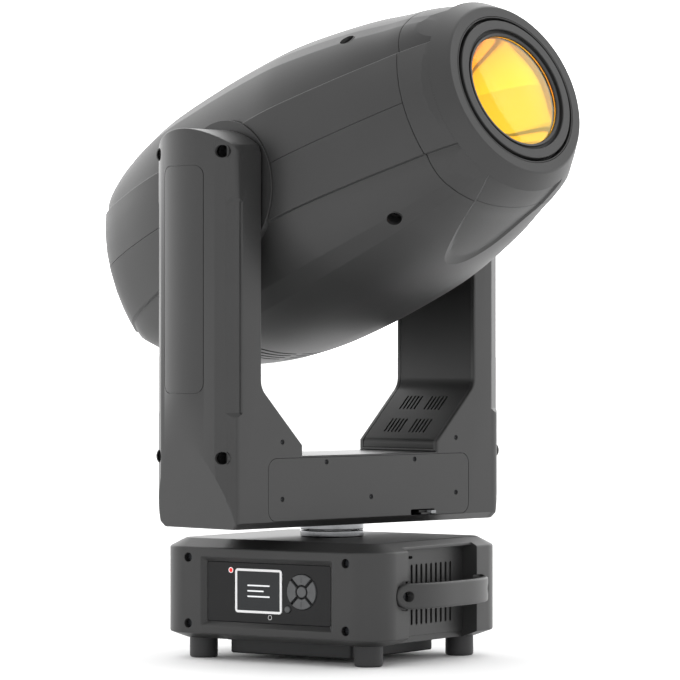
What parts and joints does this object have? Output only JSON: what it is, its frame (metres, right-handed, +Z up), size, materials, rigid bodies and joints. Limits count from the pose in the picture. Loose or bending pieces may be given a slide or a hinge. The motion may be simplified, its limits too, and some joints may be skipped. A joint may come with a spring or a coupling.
{
  "type": "moving head light",
  "caption": "Moving head stage light: box base with control panel and side handles, U-shaped yoke that pans, and a barrel head with a large front lens that tilts.",
  "frame": {"origin": "centre of the mounting plate's underside, on the pan axis", "axes": "+Z up along the pan axis; +X across the base towards one handle; the control panel faces -Y; the yoke and head stand turned and tilted at rest"},
  "size_m": [0.6002, 0.453, 0.7203],
  "materials": {
    "charcoal_shell": "moulded charcoal plastic, fine grain",
    "yoke_shell": "charcoal yoke housing, satin",
    "dark_panel": "near black moulded plastic",
    "gloss_panel": "gloss black front plate",
    "grey_key": "grey moulded keys",
    "rubber_foot": "black rubber",
    "polished_collar": "polished steel",
    "zinc_sheet": "zinc plated sheet",
    "machined_aluminium": "machined aluminium",
    "black_steel": "black painted steel",
    "circuit_board": "green solder mask",
    "drive_belt": "toothed rubber belt",
    "display_screen": "dark display window with pale border",
    "amber_lens": "warm coated front lens",
    "clear_lens": "optical glass"
  },
  "bodies": {
    "base": {"base_housing": "charcoal_shell", "vent_panel_right": "charcoal_shell", "vent_panel_left": "charcoal_shell", "mounting_plate": "black_steel", "handle_right": "charcoal_shell", "handle_left": "charcoal_shell", "foot_1": "rubber_foot", "foot_2": "rubber_foot", "foot_3": "rubber_foot", "foot_4": "rubber_foot", "control_panel": "gloss_panel", "display_window": "display_screen", "control_board": "circuit_board", "power_supply": "machined_aluminium", "rear_panel": "dark_panel", "power_inlet": "gloss_panel", "data_socket_in": "zinc_sheet", "data_socket_out": "zinc_sheet", "pan_spindle": "machined_aluminium", "pan_ring_lower": "polished_collar"},
    "yoke": {"yoke_frame": "yoke_shell", "outer_cover_right": "yoke_shell", "outer_cover_left": "yoke_shell", "inner_cover_right": "dark_panel", "inner_cover_left": "dark_panel", "crossbar_cover_front": "yoke_shell", "crossbar_cover_rear": "yoke_shell", "pan_ring_upper": "polished_collar", "pan_motor": "black_steel", "pan_belt": "drive_belt", "tilt_motor": "black_steel", "tilt_belt": "drive_belt", "tilt_bearing_left": "polished_collar", "tilt_bearing_right": "polished_collar"},
    "head": {"head_top_shell": "charcoal_shell", "head_bottom_shell": "charcoal_shell", "nose_ring": "charcoal_shell", "lens_retainer": "dark_panel", "front_lens": "amber_lens", "rear_grille": "dark_panel", "head_hub_right": "machined_aluminium", "head_hub_left": "machined_aluminium", "tilt_pulley": "machined_aluminium", "head_chassis": "zinc_sheet", "light_engine": "black_steel"},
    "key_up": {"key_up": "grey_key"},
    "key_right": {"key_right": "grey_key"},
    "key_down": {"key_down": "grey_key"},
    "key_left": {"key_left": "grey_key"},
    "key_enter": {"key_enter": "grey_key"},
    "key_menu": {"key_menu": "grey_key"},
    "pan_lock": {"pan_lock": "dark_panel"},
    "tilt_lock": {"tilt_lock": "dark_panel"},
    "pan_pinion": {"pan_pinion": "machined_aluminium"},
    "tilt_pinion": {"tilt_pinion": "machined_aluminium"},
    "rear_fan": {"rear_fan": "black_steel"},
    "colour_wheel": {"colour_wheel": "machined_aluminium"},
    "pattern_wheel": {"pattern_wheel": "machined_aluminium"},
    "zoom_carriage": {"zoom_carriage": "clear_lens"},
    "focus_carriage": {"focus_carriage": "clear_lens"}
  },
  "joints": [
    {"name": "pan", "type": "hinge", "parent": "base", "child": "yoke", "pos_m": [0, 0, 0.1447], "axis": [0, 0, 1], "range_deg": [-349, 191]},
    {"name": "tilt", "type": "hinge", "parent": "yoke", "child": "head", "pos_m": [0, 0, 0.5127], "axis": [0.1908, 0.9816, 0], "range_deg": [-204.8, 65.2]},
    {"name": "key_up_press", "type": "slide", "parent": "base", "child": "key_up", "axis": [0, 1, 0], "range_m": [0, 0.0012], "stiffness_N_per_m": 400},
    {"name": "key_right_press", "type": "slide", "parent": "base", "child": "key_right", "axis": [0, 1, 0], "range_m": [0, 0.0012], "stiffness_N_per_m": 400},
    {"name": "key_down_press", "type": "slide", "parent": "base", "child": "key_down", "axis": [0, 1, 0], "range_m": [0, 0.0012], "stiffness_N_per_m": 400},
    {"name": "key_left_press", "type": "slide", "parent": "base", "child": "key_left", "axis": [0, 1, 0], "range_m": [0, 0.0012], "stiffness_N_per_m": 400},
    {"name": "key_enter_press", "type": "slide", "parent": "base", "child": "key_enter", "axis": [0, 1, 0], "range_m": [0, 0.0012], "stiffness_N_per_m": 400},
    {"name": "key_menu_press", "type": "slide", "parent": "base", "child": "key_menu", "axis": [0, 1, 0], "range_m": [0, 0.0012], "stiffness_N_per_m": 400},
    {"name": "pan_lock_slide", "type": "slide", "parent": "yoke", "child": "pan_lock", "axis": [0.1908, 0.9816, 0], "range_m": [-0.014, 0]},
    {"name": "tilt_lock_slide", "type": "slide", "parent": "yoke", "child": "tilt_lock", "axis": [0, 0, 1], "range_m": [0, 0.016]},
    {"name": "pan_pinion_spin", "type": "hinge", "parent": "yoke", "child": "pan_pinion", "pos_m": [-0.01984, -0.10209, 0.2007], "axis": [0, 0, 1], "range_deg": [-770, 1400]},
    {"name": "tilt_pinion_spin", "type": "hinge", "parent": "yoke", "child": "tilt_pinion", "pos_m": [-0.03873, -0.19927, 0.2627], "axis": [0.1908, 0.9816, 0], "range_deg": [-720, 230]},
    {"name": "rear_fan_spin", "type": "hinge", "parent": "head", "child": "rear_fan", "pos_m": [-0.20544, 0.03993, 0.4357], "axis": [0.9213, -0.1791, 0.3453], "continuous": true},
    {"name": "colour_wheel_spin", "type": "hinge", "parent": "head", "child": "colour_wheel", "pos_m": [-0.03713, 0.05, 0.49578], "axis": [0.9213, -0.1791, 0.3453], "continuous": true},
    {"name": "pattern_wheel_spin", "type": "hinge", "parent": "head", "child": "pattern_wheel", "pos_m": [-0.02239, 0.04714, 0.50131], "axis": [0.9213, -0.1791, 0.3453], "continuous": true},
    {"name": "zoom_slide", "type": "slide", "parent": "head", "child": "zoom_carriage", "axis": [0.9213, -0.1791, 0.3453], "range_m": [-0.02, 0.025]},
    {"name": "focus_slide", "type": "slide", "parent": "head", "child": "focus_carriage", "axis": [0.9213, -0.1791, 0.3453], "range_m": [-0.018, 0.035]}
  ],
  "couplings": [
    {"joint": "pan_pinion_spin", "follows": "pan", "ratio": -4},
    {"joint": "tilt_pinion_spin", "follows": "tilt", "ratio": 3.5}
  ]
}
